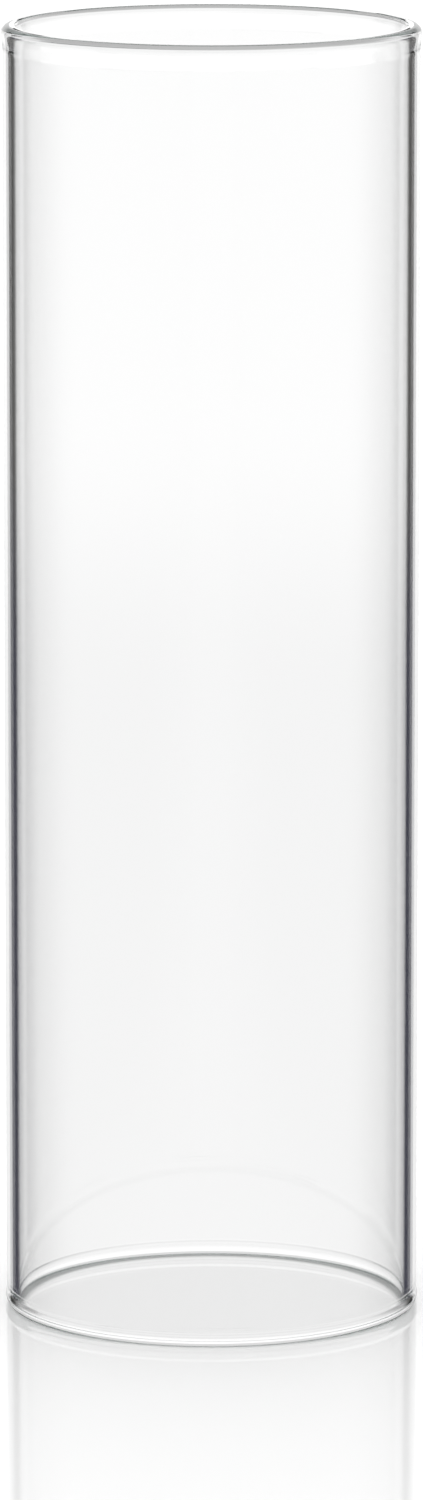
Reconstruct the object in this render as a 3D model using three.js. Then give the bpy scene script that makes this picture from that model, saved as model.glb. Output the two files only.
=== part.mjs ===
// Open glass cylinder for flower arranging: one length of clear glass tube, open at
// both ends, with each cut end melted back into a rounded bead.
// Millimetres, +Z up. The origin is on the cylinder's axis, on the surface it stands on.

import * as THREE from 'three';

// Driving dimensions
const HEIGHT = 250;
const OUTER_DIAMETER = 80;
const WALL_THICKNESS = 2.25;

// Mouth bead: the thicker, rounded lip around the top. A bead's rounding is how much of
// its height rounds over, from where it is widest to its very end
const MOUTH_BEAD_HEIGHT = 5;
const MOUTH_BEAD_ROUNDING = 1.5;
const MOUTH_BEAD_SWELL_OUT = 0.3;
const MOUTH_BEAD_SWELL_IN = 0.2;

// Foot bead: slimmer, and flared a little, so that its inner face leans outwards too. It
// ends in the narrow flat ring that the cylinder stands on
const FOOT_BEAD_HEIGHT = 3;
const FOOT_BEAD_ROUNDING = 1.9;
const FOOT_BEAD_SWELL_OUT = 0.2;
const FOOT_BEAD_SWELL_IN = -0.1;
const FOOT_FLAT_WIDTH = 0.4;

// Fineness of the faceted solids
const SIDES = 96;
const STEPS_PER_CURVE = 4;

// Worked out from the driving dimensions
const OUTER_RADIUS = OUTER_DIAMETER / 2;
const INNER_RADIUS = OUTER_RADIUS - WALL_THICKNESS;
const MIDDLE_RADIUS = (OUTER_RADIUS + INNER_RADIUS) / 2;
const WALL_BOTTOM = FOOT_BEAD_HEIGHT;
const WALL_TOP = HEIGHT - MOUTH_BEAD_HEIGHT;

// How far a bead's curves lean on their ends: a quarter circle's share of its radius
const ROUNDNESS = 0.5523;

// Turns an outline around the cylinder's axis. The outline is a list of points, each a
// radius and a height, that runs anticlockwise and closes on its first point.
function turned(outline) {
  const geometry = new THREE.LatheGeometry([...outline, outline[0]], SIDES);
  geometry.rotateX(Math.PI / 2);
  return geometry;
}

// One side of a bead: it leaves the wall's face at the height faceEnd, swells until the
// height widest, then rounds over to the crown, which lies at the radius crownRadius.
function addBeadSide(path, faceRadius, swollenRadius, faceEnd, widest, crownRadius, crown) {
  const half = (widest - faceEnd) / 2;
  path.moveTo(faceRadius, faceEnd);
  path.bezierCurveTo(
    faceRadius, faceEnd + half,
    swollenRadius, widest - half,
    swollenRadius, widest,
  );
  path.bezierCurveTo(
    swollenRadius, widest + (crown - widest) * ROUNDNESS,
    crownRadius + (swollenRadius - crownRadius) * ROUNDNESS, crown,
    crownRadius, crown,
  );
}

// The whole outline of a bead, from its outer side over the crown to its inner side. The
// crown has a flat of the width flat, or none, and the bead ends flat where the wall meets it.
function beadOutline({ faceEnd, widest, crown, flat, swellOut, swellIn }) {
  const outer = new THREE.Path();
  addBeadSide(
    outer, OUTER_RADIUS, OUTER_RADIUS + swellOut,
    faceEnd, widest, MIDDLE_RADIUS + flat / 2, crown,
  );
  const inner = new THREE.Path();
  addBeadSide(
    inner, INNER_RADIUS, INNER_RADIUS - swellIn,
    faceEnd, widest, MIDDLE_RADIUS - flat / 2, crown,
  );
  const outerPoints = outer.getPoints(STEPS_PER_CURVE);
  const innerPoints = inner.getPoints(STEPS_PER_CURVE).reverse();
  if (flat === 0) innerPoints.shift();
  const points = [...outerPoints, ...innerPoints];
  const opensUpwards = crown > faceEnd;
  return opensUpwards ? points : points.reverse();
}

// Clear glass with a trace of green
function clearGlass() {
  return new THREE.MeshStandardMaterial({
    color: 0xf1f7f4,
    roughness: 0.02,
    metalness: 0,
    transparent: true,
    opacity: 0.35,
  });
}

// The plain stretch of tube between the two beads
function makeCylinderWall() {
  const outline = [
    new THREE.Vector2(INNER_RADIUS, WALL_BOTTOM),
    new THREE.Vector2(OUTER_RADIUS, WALL_BOTTOM),
    new THREE.Vector2(OUTER_RADIUS, WALL_TOP),
    new THREE.Vector2(INNER_RADIUS, WALL_TOP),
  ];
  const mesh = new THREE.Mesh(turned(outline), clearGlass());
  mesh.name = 'cylinder_wall';
  return mesh;
}

// The melted lip around the mouth, thicker than the wall and round on top
function makeMouthRim() {
  const outline = beadOutline({
    faceEnd: WALL_TOP,
    widest: HEIGHT - MOUTH_BEAD_ROUNDING,
    crown: HEIGHT,
    flat: 0,
    swellOut: MOUTH_BEAD_SWELL_OUT,
    swellIn: MOUTH_BEAD_SWELL_IN,
  });
  const mesh = new THREE.Mesh(turned(outline), clearGlass());
  mesh.name = 'mouth_rim';
  return mesh;
}

// The melted lip around the foot, which rests on its narrow flat ring
function makeFootRim() {
  const outline = beadOutline({
    faceEnd: WALL_BOTTOM,
    widest: FOOT_BEAD_ROUNDING,
    crown: 0,
    flat: FOOT_FLAT_WIDTH,
    swellOut: FOOT_BEAD_SWELL_OUT,
    swellIn: FOOT_BEAD_SWELL_IN,
  });
  const mesh = new THREE.Mesh(turned(outline), clearGlass());
  mesh.name = 'foot_rim';
  return mesh;
}

const glassCylinder = new THREE.Group();
glassCylinder.add(makeCylinderWall(), makeMouthRim(), makeFootRim());

export default glassCylinder;
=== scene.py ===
import math

import bpy
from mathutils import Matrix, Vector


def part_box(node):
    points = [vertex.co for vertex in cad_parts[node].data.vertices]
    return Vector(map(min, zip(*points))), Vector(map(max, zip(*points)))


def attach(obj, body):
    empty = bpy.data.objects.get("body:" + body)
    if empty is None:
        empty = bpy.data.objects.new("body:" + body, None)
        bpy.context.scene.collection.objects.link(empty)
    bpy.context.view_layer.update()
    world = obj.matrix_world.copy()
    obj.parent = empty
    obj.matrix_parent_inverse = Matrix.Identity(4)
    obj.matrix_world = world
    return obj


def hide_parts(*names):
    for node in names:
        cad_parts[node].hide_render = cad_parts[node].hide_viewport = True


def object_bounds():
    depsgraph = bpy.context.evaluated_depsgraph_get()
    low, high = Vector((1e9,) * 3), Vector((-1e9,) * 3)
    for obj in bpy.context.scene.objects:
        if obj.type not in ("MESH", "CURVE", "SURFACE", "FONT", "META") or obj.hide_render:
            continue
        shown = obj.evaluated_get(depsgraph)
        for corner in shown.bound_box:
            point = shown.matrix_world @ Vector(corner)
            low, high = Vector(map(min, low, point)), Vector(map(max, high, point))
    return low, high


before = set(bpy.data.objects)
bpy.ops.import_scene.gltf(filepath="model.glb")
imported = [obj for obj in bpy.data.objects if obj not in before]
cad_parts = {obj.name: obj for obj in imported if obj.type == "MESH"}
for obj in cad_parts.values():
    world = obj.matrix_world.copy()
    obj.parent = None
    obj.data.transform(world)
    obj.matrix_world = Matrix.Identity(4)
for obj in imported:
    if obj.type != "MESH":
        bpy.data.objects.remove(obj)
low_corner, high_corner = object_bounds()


# CAMERA
# A long lens well back from the glass, a little above its mouth, looking slightly down.
# It aims below the middle of the glass, so that the glass's reflection shows under it.
HEIGHT = high_corner[2] - low_corner[2]
LENS_MM = 228.5
SENSOR_MM = 36
CAMERA_DISTANCE = 1.8436
CAMERA_TILT = math.radians(10.25)
AIM_SHARE_OF_HEIGHT = 0.4364
FAR_LIMIT = 50

aim_height = HEIGHT * AIM_SHARE_OF_HEIGHT
bpy.ops.object.camera_add(
    location=(
        0,
        -CAMERA_DISTANCE * math.cos(CAMERA_TILT),
        aim_height + CAMERA_DISTANCE * math.sin(CAMERA_TILT),
    ),
    rotation=(math.pi / 2 - CAMERA_TILT, 0, 0),
)
camera = bpy.context.object
camera.name = "camera"
camera.data.lens = LENS_MM
camera.data.sensor_width = SENSOR_MM
camera.data.clip_end = FAR_LIMIT
bpy.context.scene.camera = camera


# GLASS CYLINDER
# One length of clear borosilicate tube, open at both ends, each held in a flame until the
# cut edge drew up into a round bead: a full one at the mouth, and at the foot a slimmer
# one that flares a little, with the narrow flat that it stands on.
MM = 0.001
WALL = 2.25 * MM

# A bead's height, how much of it rounds over, how far its outer and inner faces are drawn
# out, and the width of the flat that is left at its very end. A long bead's two faces tug
# on each other through the glass, so the mouth's end up swollen a little less than stated.
MOUTH_BEAD = (5.0 * MM, 1.5 * MM, 0.3 * MM, 0.2 * MM, 0.02 * MM)
FOOT_BEAD = (3.0 * MM, 1.9 * MM, 0.2 * MM, -0.1 * MM, 0.4 * MM)

# Fineness: sides round the tube, steps round a melted corner, and cuts across a swell,
# which run on past it so that the plain wall above keeps straight sides
TURN_STEPS = 384
CORNER_STEPS = 10
SWELL_CUTS = 8
CUTS_PAST_SWELL = 3
ROUND_PROFILE = 0.5
SAME_PLACE = 0.005 * MM

wall_low_corner, wall_high_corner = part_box("cylinder_wall")
outer_radius = (wall_high_corner.x - wall_low_corner.x) / 2
middle_radius = outer_radius - WALL / 2


def choose_points(piece, accepts):
    """In edit mode, selects the points that accepts(place) says yes to."""
    bpy.ops.mesh.select_mode(type="VERT")
    bpy.ops.mesh.select_all(action="DESELECT")
    bpy.ops.object.mode_set(mode="OBJECT")
    for point in piece.data.vertices:
        point.select = accepts(point.co)
    bpy.ops.object.mode_set(mode="EDIT")


def melt_end(piece, end, inward, bead):
    """Gives one end of the section its bead. inward is +1 where the glass is above the end."""
    height, rounding, swell_out, swell_in, flat = bead
    fade = height - rounding
    for n in range(SWELL_CUTS + CUTS_PAST_SWELL):
        cut = end + inward * (rounding + fade * n / SWELL_CUTS)
        bpy.ops.mesh.select_all(action="SELECT")
        bpy.ops.mesh.bisect(plane_co=(0, 0, cut), plane_no=(0, 0, 1))
    for side, amount in ((1, swell_out), (-1, swell_in)):
        melt = (WALL - flat) / 2 + amount

        def lies_within(reach, co):
            near_end = (co.z - end) * inward < reach + SAME_PLACE
            return near_end and (co.x - middle_radius) * side > 0

        choose_points(piece, lambda co: lies_within(rounding, co))
        bpy.ops.transform.translate(
            value=(amount * side, 0, 0),
            use_proportional_edit=True,
            proportional_edit_falloff="SMOOTH",
            proportional_size=fade,
            use_proportional_connected=True,
        )
        choose_points(piece, lambda co: lies_within(0, co))
        bpy.ops.mesh.bevel(
            affect="VERTICES", offset=melt, segments=CORNER_STEPS, profile=ROUND_PROFILE
        )
        choose_points(piece, lambda co: lies_within(melt, co))
        bpy.ops.transform.resize(
            value=(1, 1, rounding / melt), center_override=(middle_radius, 0, end),
            use_proportional_edit=False,
        )


bpy.ops.object.select_all(action="DESELECT")
bpy.ops.mesh.primitive_plane_add(
    size=1, location=(middle_radius, 0, HEIGHT / 2), rotation=(math.pi / 2, 0, 0)
)
glass = bpy.context.object
glass.name = "glass_cylinder"
glass.scale = (WALL, HEIGHT, 1)
bpy.ops.object.transform_apply(location=True, rotation=True, scale=True)
bpy.ops.object.mode_set(mode="EDIT")

melt_end(glass, 0, 1, FOOT_BEAD)
melt_end(glass, HEIGHT, -1, MOUTH_BEAD)

# The section's outline, turned once round the axis
bpy.ops.mesh.select_all(action="SELECT")
bpy.ops.mesh.dissolve_faces()
bpy.ops.mesh.delete(type="ONLY_FACE")
bpy.ops.mesh.select_all(action="SELECT")
bpy.ops.mesh.spin(steps=TURN_STEPS, angle=2 * math.pi, center=(0, 0, 0), axis=(0, 0, 1))
bpy.ops.mesh.select_all(action="SELECT")
bpy.ops.mesh.remove_doubles(threshold=SAME_PLACE)
bpy.ops.mesh.normals_make_consistent(inside=False)
bpy.ops.object.mode_set(mode="OBJECT")
bpy.ops.object.shade_smooth()


def add_node(tree, kind, settings=None, inputs=None):
    """Adds a node, sets its settings, and gives its inputs values or links."""
    made = tree.nodes.new("ShaderNode" + kind)
    for name, value in (settings or {}).items():
        setattr(made, name, value)
    for name, value in (inputs or {}).items():
        if isinstance(value, bpy.types.NodeSocket):
            tree.links.new(value, made.inputs[name])
        else:
            made.inputs[name].default_value = value
    return made


# Borosilicate glass, drawn as tube and flame finished: perfectly smooth and nearly
# colourless, so it is seen only by what it bends and mirrors, with a trace of green in
# the thick of its edges.
GLASS_IOR = 1.47
GLASS_ROUGHNESS = 0.0
GLASS_TRACE = (0.60, 0.68, 0.66, 1)
GLASS_DEPTH_OF_COLOUR = 4
WHITE = (1, 1, 1, 1)

clear_glass = bpy.data.materials.new("clear_borosilicate_glass")
clear_glass.use_nodes = True
tree = clear_glass.node_tree
tree.nodes.clear()
surface = add_node(tree, "BsdfPrincipled", {}, {
    "Base Color": WHITE, "Roughness": GLASS_ROUGHNESS, "IOR": GLASS_IOR,
    "Transmission Weight": 1.0,
})
inside = add_node(tree, "VolumeAbsorption", {}, {
    "Color": GLASS_TRACE, "Density": GLASS_DEPTH_OF_COLOUR,
})
add_node(tree, "OutputMaterial", {}, {
    "Surface": surface.outputs["BSDF"], "Volume": inside.outputs["Volume"],
})
glass.data.materials.append(clear_glass)
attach(glass, "root")
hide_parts("cylinder_wall", "mouth_rim", "foot_rim")


# FLOOR
# A broad round sheet of polished white acrylic with a rounded edge, on a light box: what
# shows through the glass is the light from under the sheet, dimmed by painted shadow and
# painted shade near and beside the foot. Its underside is left open to let that light in.
FLOOR_RADIUS = 3.0
FLOOR_SIDES = 128
FLOOR_THICKNESS = 10 * MM
FLOOR_EDGE_ROUND = 3 * MM
FLOOR_EDGE_STEPS = 4
FLOOR_GAP = 0.02 * MM
SQUARE_CORNER = math.radians(60)
SMOOTH_BELOW = math.radians(30)

bpy.ops.object.select_all(action="DESELECT")
bpy.ops.mesh.primitive_cylinder_add(
    vertices=FLOOR_SIDES, radius=FLOOR_RADIUS, depth=FLOOR_THICKNESS,
    location=(0, 0, -FLOOR_GAP - FLOOR_THICKNESS / 2),
)
floor = bpy.context.object
floor.name = "acrylic_floor"
bpy.ops.object.transform_apply(location=True, rotation=True, scale=True)
bpy.ops.object.mode_set(mode="EDIT")
choose_points(floor, lambda co: co.z < -FLOOR_THICKNESS)
bpy.ops.mesh.delete(type="ONLY_FACE")
bpy.ops.mesh.select_mode(type="EDGE")
bpy.ops.mesh.select_all(action="DESELECT")
bpy.ops.mesh.edges_select_sharp(sharpness=SQUARE_CORNER)
bpy.ops.mesh.bevel(offset=FLOOR_EDGE_ROUND, segments=FLOOR_EDGE_STEPS)
bpy.ops.object.mode_set(mode="OBJECT")
bpy.ops.object.shade_smooth_by_angle(angle=SMOOTH_BELOW)


def linear(hex_colour):
    """A colour written as sRGB hex, as the linear values that a shader takes."""
    shares = [int(hex_colour[n:n + 2], 16) / 255 for n in (1, 3, 5)]
    levels = [c / 12.92 if c <= 0.04045 else ((c + 0.055) / 1.055) ** 2.4 for c in shares]
    return (*levels, 1)


def by_way_of_glass(tree):
    """1 for a ray that has met the glass and no matt surface, else 0."""
    path = add_node(tree, "LightPath")
    met_glass = add_node(tree, "Math", {"operation": "ADD", "use_clamp": True}, {
        0: path.outputs["Transmission Depth"], 1: path.outputs["Is Singular Ray"],
    })
    met_nothing_matt = add_node(tree, "Math", {"operation": "LESS_THAN"}, {
        0: path.outputs["Diffuse Depth"], 1: 1,
    })
    both = add_node(tree, "Math", {"operation": "MULTIPLY"}, {
        0: met_glass.outputs[0], 1: met_nothing_matt.outputs[0],
    })
    return both.outputs[0]


# White acrylic sheet with its factory polish: a milky white body under a clear gloss that
# mirrors the foot of the glass softly. Levels are shares of the light from under the sheet; below
# 1 they are painted shade.
ACRYLIC_IOR = 1.49
ACRYLIC_ROUGHNESS = 0.04
ACRYLIC_WHITE = linear("#f7f7f7")

# Painted shadow: a dark line where the foot touches down, and painted shade inside the ring of
# the foot
PAINTED_FOOT_SHADOW_LEVEL = 0.4
CONTACT_SHADE_STARTS = 1.0 * MM
CONTACT_SHADE_REACH = 3.5 * MM
PAINTED_INSIDE_SHADE_LEVEL = 0.93
INSIDE_ENDS = 38 * MM
OUTSIDE_STARTS = 50 * MM

# Painted shade: the sheet is dimmer beside a wedge that widens to the front and the back, until
# far out
WEDGE_START = 100 * MM
WEDGE_FADES = 0.1
WEDGE_ENDS = 0.6
PAINTED_SHADE_BESIDE_WEDGE = 0.88
FAR_STARTS = 0.65
FAR_ENDS = 1.1

# Seen through the glass, the gloss fades out just beyond the foot
POLISH_FADES = 40 * MM
POLISH_ENDS = 46 * MM

SMOOTHLY = {"interpolation_type": "SMOOTHSTEP"}

white_acrylic = bpy.data.materials.new("polished_white_acrylic_sheet")
white_acrylic.use_nodes = True
tree = white_acrylic.node_tree
tree.nodes.clear()
place = add_node(tree, "TexCoord")
distance = add_node(tree, "VectorMath", {"operation": "LENGTH"}, {0: place.outputs["Object"]})
from_middle = distance.outputs["Value"]

from_foot = add_node(tree, "Math", {"operation": "SUBTRACT"}, {0: from_middle, 1: middle_radius})
from_foot = add_node(tree, "Math", {"operation": "ABSOLUTE"}, {0: from_foot.outputs[0]})
# Painted shadow: a dark band on the sheet where the foot of the glass touches down, seen through
# the glass
painted_foot_shadow = add_node(tree, "MapRange", SMOOTHLY, {
    "Value": from_foot.outputs[0], "From Min": CONTACT_SHADE_STARTS,
    "From Max": CONTACT_SHADE_REACH, "To Min": PAINTED_FOOT_SHADOW_LEVEL,
})
# Painted shade: the sheet inside the foot and just beyond it is a little darker
ring = add_node(tree, "MapRange", SMOOTHLY, {
    "Value": from_middle, "From Min": INSIDE_ENDS, "From Max": OUTSIDE_STARTS,
    "To Min": PAINTED_INSIDE_SHADE_LEVEL,
})

across = add_node(tree, "SeparateXYZ", {}, {0: place.outputs["Object"]})
sideways = add_node(tree, "Math", {"operation": "ABSOLUTE"}, {0: across.outputs["X"]})
along = add_node(tree, "Math", {"operation": "ADD"}, {0: from_middle, 1: WEDGE_START})
slant = add_node(tree, "Math", {"operation": "DIVIDE"}, {
    0: sideways.outputs[0], 1: along.outputs[0],
})
# Painted shade beside the wedge, which fades out far from the glass
wedge = add_node(tree, "MapRange", SMOOTHLY, {
    "Value": slant.outputs[0], "From Min": WEDGE_FADES, "From Max": WEDGE_ENDS,
    "To Min": 1, "To Max": PAINTED_SHADE_BESIDE_WEDGE,
})
wedge = add_node(tree, "MapRange", SMOOTHLY, {
    "Value": from_middle, "From Min": FAR_STARTS, "From Max": FAR_ENDS,
    "To Min": wedge.outputs[0],
})

# Painted shade: the foot's painted shadow, the inside shade and the side shade together dim the
# light let through the sheet
painted_shade_level = add_node(tree, "Math", {"operation": "MULTIPLY"}, {
    0: painted_foot_shadow.outputs[0], 1: ring.outputs[0],
})
painted_shade_level = add_node(tree, "Math", {"operation": "MULTIPLY"}, {
    0: painted_shade_level.outputs[0], 1: wedge.outputs[0],
})
white = add_node(tree, "BsdfDiffuse", {}, {"Color": ACRYLIC_WHITE})
light_from_below_with_painted_shade = add_node(tree, "BsdfTransparent", {}, {"Color": painted_shade_level.outputs[0]})
body = add_node(tree, "MixShader", {}, {
    0: by_way_of_glass(tree), 1: white.outputs[0], 2: light_from_below_with_painted_shade.outputs[0],
})

beyond_foot = add_node(tree, "MapRange", SMOOTHLY, {
    "Value": from_middle, "From Min": POLISH_FADES, "From Max": POLISH_ENDS,
})
unseen_gloss = add_node(tree, "Math", {"operation": "MULTIPLY"}, {
    0: by_way_of_glass(tree), 1: beyond_foot.outputs[0],
})
seen_gloss = add_node(tree, "Math", {"operation": "SUBTRACT"}, {0: 1, 1: unseen_gloss.outputs[0]})
fresnel = add_node(tree, "Fresnel", {}, {"IOR": ACRYLIC_IOR})
shine = add_node(tree, "Math", {"operation": "MULTIPLY"}, {
    0: fresnel.outputs[0], 1: seen_gloss.outputs[0],
})
gloss = add_node(tree, "BsdfGlossy", {}, {"Color": WHITE, "Roughness": ACRYLIC_ROUGHNESS})
polished = add_node(tree, "MixShader", {}, {
    0: shine.outputs[0], 1: body.outputs[0], 2: gloss.outputs[0],
})
add_node(tree, "OutputMaterial", {}, {"Surface": polished.outputs[0]})
floor.data.materials.append(white_acrylic)


# STUDIO LIGHT
# An even white room, but the glass is shown as clear glass always is: against a lit panel,
# with a black flag on each side of the panel to draw its edges dark. Each side that it is
# looked at from has a panel of its own, at its own height.
ROOM_LEVEL = 1.2
HIGH_PANEL_LEVEL = 1.0
LOW_PANEL_LEVEL = 0.93
OVERHEAD_PANEL_LEVEL = 0.7
HORIZON_LEVEL = 1.1
SIDE_WALL = (0.5, 0.5, 0.5, 1)
CAMERA_SIDE_WALL = (0.95, 0.95, 0.95, 1)
LOW_FLAG = (0.045, 0.045, 0.065, 1)
HIGH_FLAG = (0.022, 0.02, 0.017, 1)

# Where a viewer stands to face each panel, in degrees round from the front
FRONT_VIEW = 0
SIDE_VIEW = 90
BACK_CORNER_VIEW = 225
FRONT_CORNER_VIEW = 45

# Degrees round from the middle of a panel
PANEL_ENDS = 21
FLAG_STARTS = 24.5
HIGH_FLAG_ENDS = 30
HIGH_SIDE_STARTS = 44
LOW_FLAG_ENDS = 36
LOW_SIDE_STARTS = 50
SIDE_ENDS = 60
CAMERA_SIDE_STARTS = 95

# Degrees above or below level. One height's panels give way to the next within a seam.
LOW_PANELS_END = 4.6
FRONT_PANEL_ENDS = 13.8
BACK_PANEL_ENDS = 16.1
PANEL_SEAM = 0.01
HIGH_PANEL_MIDDLE = 25
HIGH_PANEL_REACH = 1.3
LOW_LIGHT_STARTS = 8.2
LOW_LIGHT_FULL = 9.9
HORIZON_STARTS = -5.4
HORIZON_FULL = -3
OVERHEAD_STARTS = 8
OVERHEAD_FULL = 12.5

# Away from the panels: the light from below, which dims the steeper it is, and from above
STEEPEST = -30
STEEPEST_LEVEL = 0.5
SHALLOW = -17
SHALLOW_LEVEL = 1.0
UPWARD_LEVEL = 0.8

studio = bpy.data.worlds.new("studio")
bpy.context.scene.world = studio
studio.use_nodes = True
tree = studio.node_tree
tree.nodes.clear()
place = add_node(tree, "TexCoord")
level_part = add_node(tree, "VectorMath", {"operation": "MULTIPLY"}, {
    0: place.outputs["Generated"], 1: (1, 1, 0),
})
heading = add_node(tree, "VectorMath", {"operation": "NORMALIZE"}, {0: level_part.outputs[0]})
axes = add_node(tree, "SeparateXYZ", {}, {0: place.outputs["Generated"]})
tilt = add_node(tree, "Math", {"operation": "ARCSINE"}, {0: axes.outputs["Z"]})
elevation = add_node(tree, "Math", {"operation": "DEGREES"}, {0: tilt.outputs[0]}).outputs[0]
steepness = add_node(tree, "Math", {"operation": "ABSOLUTE"}, {0: elevation}).outputs[0]


def nearness(azimuth):
    """The cosine of the angle to the panel that faces a viewer at azimuth."""
    turn = math.radians(azimuth)
    made = add_node(tree, "VectorMath", {"operation": "DOT_PRODUCT"}, {
        0: heading.outputs[0], 1: (-math.sin(turn), math.cos(turn), 0),
    })
    return made.outputs["Value"]


# The panel that counts at each steepness: near level the front and side ones, then the
# front one alone, then the two at the corners
front = nearness(FRONT_VIEW)
low = add_node(tree, "Math", {"operation": "MAXIMUM"}, {
    0: front, 1: nearness(SIDE_VIEW),
}).outputs[0]
downwards = add_node(tree, "Math", {"operation": "MULTIPLY"}, {0: elevation, 1: -1}).outputs[0]
facing = add_node(tree, "MapRange", SMOOTHLY, {
    "Value": steepness, "From Min": LOW_PANELS_END, "From Max": LOW_PANELS_END + PANEL_SEAM,
    "To Min": low, "To Max": front,
})
facing = add_node(tree, "MapRange", SMOOTHLY, {
    "Value": downwards, "From Min": FRONT_PANEL_ENDS,
    "From Max": FRONT_PANEL_ENDS + PANEL_SEAM,
    "To Min": facing.outputs[0], "To Max": nearness(BACK_CORNER_VIEW),
})
facing = add_node(tree, "MapRange", SMOOTHLY, {
    "Value": steepness, "From Min": BACK_PANEL_ENDS, "From Max": BACK_PANEL_ENDS + PANEL_SEAM,
    "To Min": facing.outputs[0], "To Max": nearness(FRONT_CORNER_VIEW),
})
turn = add_node(tree, "Math", {"operation": "ARCCOSINE"}, {0: facing.outputs[0]})
turn = add_node(tree, "Math", {"operation": "DEGREES"}, {0: turn.outputs[0]}).outputs[0]

# The lit panels, brighter towards the horizon
panel = add_node(tree, "MapRange", SMOOTHLY, {
    "Value": downwards, "From Min": LOW_LIGHT_STARTS, "From Max": LOW_LIGHT_FULL,
    "To Min": HIGH_PANEL_LEVEL, "To Max": LOW_PANEL_LEVEL,
})
panel = add_node(tree, "MapRange", SMOOTHLY, {
    "Value": elevation, "From Min": HORIZON_STARTS, "From Max": HORIZON_FULL,
    "To Min": panel.outputs[0], "To Max": HORIZON_LEVEL,
})
panel = add_node(tree, "MapRange", SMOOTHLY, {
    "Value": elevation, "From Min": OVERHEAD_STARTS, "From Max": OVERHEAD_FULL,
    "To Min": panel.outputs[0], "To Max": OVERHEAD_PANEL_LEVEL,
})

# The flags beside them, then the side walls, then the camera's side of the room
how_low = add_node(tree, "MapRange", SMOOTHLY, {
    "Value": downwards, "From Min": LOW_LIGHT_STARTS, "From Max": LOW_LIGHT_FULL,
}).outputs[0]
flag = add_node(tree, "MixRGB", {}, {"Fac": how_low, "Color1": HIGH_FLAG, "Color2": LOW_FLAG})
past_panel = add_node(tree, "MapRange", SMOOTHLY, {
    "Value": turn, "From Min": PANEL_ENDS, "From Max": FLAG_STARTS,
})
seen = add_node(tree, "MixRGB", {}, {
    "Fac": past_panel.outputs[0], "Color1": panel.outputs[0], "Color2": flag.outputs[0],
})
past_high_flag = add_node(tree, "MapRange", SMOOTHLY, {
    "Value": turn, "From Min": HIGH_FLAG_ENDS, "From Max": HIGH_SIDE_STARTS,
})
past_low_flag = add_node(tree, "MapRange", SMOOTHLY, {
    "Value": turn, "From Min": LOW_FLAG_ENDS, "From Max": LOW_SIDE_STARTS,
})
past_flag = add_node(tree, "MapRange", {}, {
    "Value": how_low, "To Min": past_high_flag.outputs[0], "To Max": past_low_flag.outputs[0],
})
seen = add_node(tree, "MixRGB", {}, {
    "Fac": past_flag.outputs[0], "Color1": seen.outputs[0], "Color2": SIDE_WALL,
})
past_side = add_node(tree, "MapRange", SMOOTHLY, {
    "Value": turn, "From Min": SIDE_ENDS, "From Max": CAMERA_SIDE_STARTS,
})
seen = add_node(tree, "MixRGB", {}, {
    "Fac": past_side.outputs[0], "Color1": seen.outputs[0], "Color2": CAMERA_SIDE_WALL,
})

# Steeper than the panels reach there is only plain light
plain = add_node(tree, "MapRange", {}, {
    "Value": elevation, "From Min": STEEPEST, "From Max": SHALLOW,
    "To Min": STEEPEST_LEVEL, "To Max": SHALLOW_LEVEL,
})
plain = add_node(tree, "MapRange", SMOOTHLY, {
    "Value": elevation, "From Min": OVERHEAD_STARTS, "From Max": OVERHEAD_FULL,
    "To Min": plain.outputs[0], "To Max": UPWARD_LEVEL,
})
flat_enough = add_node(tree, "Math", {"operation": "LESS_THAN"}, {
    0: steepness, 1: BACK_PANEL_ENDS,
})
high_panel = add_node(tree, "Math", {"operation": "COMPARE"}, {
    0: steepness, 1: HIGH_PANEL_MIDDLE, 2: HIGH_PANEL_REACH,
})
has_panels = add_node(tree, "Math", {"operation": "ADD"}, {
    0: flat_enough.outputs[0], 1: high_panel.outputs[0],
})
seen = add_node(tree, "MixRGB", {}, {
    "Fac": has_panels.outputs[0], "Color1": plain.outputs[0], "Color2": seen.outputs[0],
}).outputs[0]

room = add_node(tree, "Background", {}, {"Color": WHITE, "Strength": ROOM_LEVEL})
panels = add_node(tree, "Background", {}, {"Color": seen, "Strength": 1.0})
light = add_node(tree, "MixShader", {}, {
    0: by_way_of_glass(tree), 1: room.outputs[0], 2: panels.outputs[0],
})
add_node(tree, "OutputWorld", {}, {"Surface": light.outputs[0]})
bpy.context.scene.view_settings.view_transform = "Standard"

# Light is followed through all the surfaces of clear glass
LONGEST_PATH = 256
cycles = bpy.context.scene.cycles
cycles.max_bounces = LONGEST_PATH
cycles.transmission_bounces = LONGEST_PATH
cycles.glossy_bounces = LONGEST_PATH
cycles.transparent_max_bounces = LONGEST_PATH
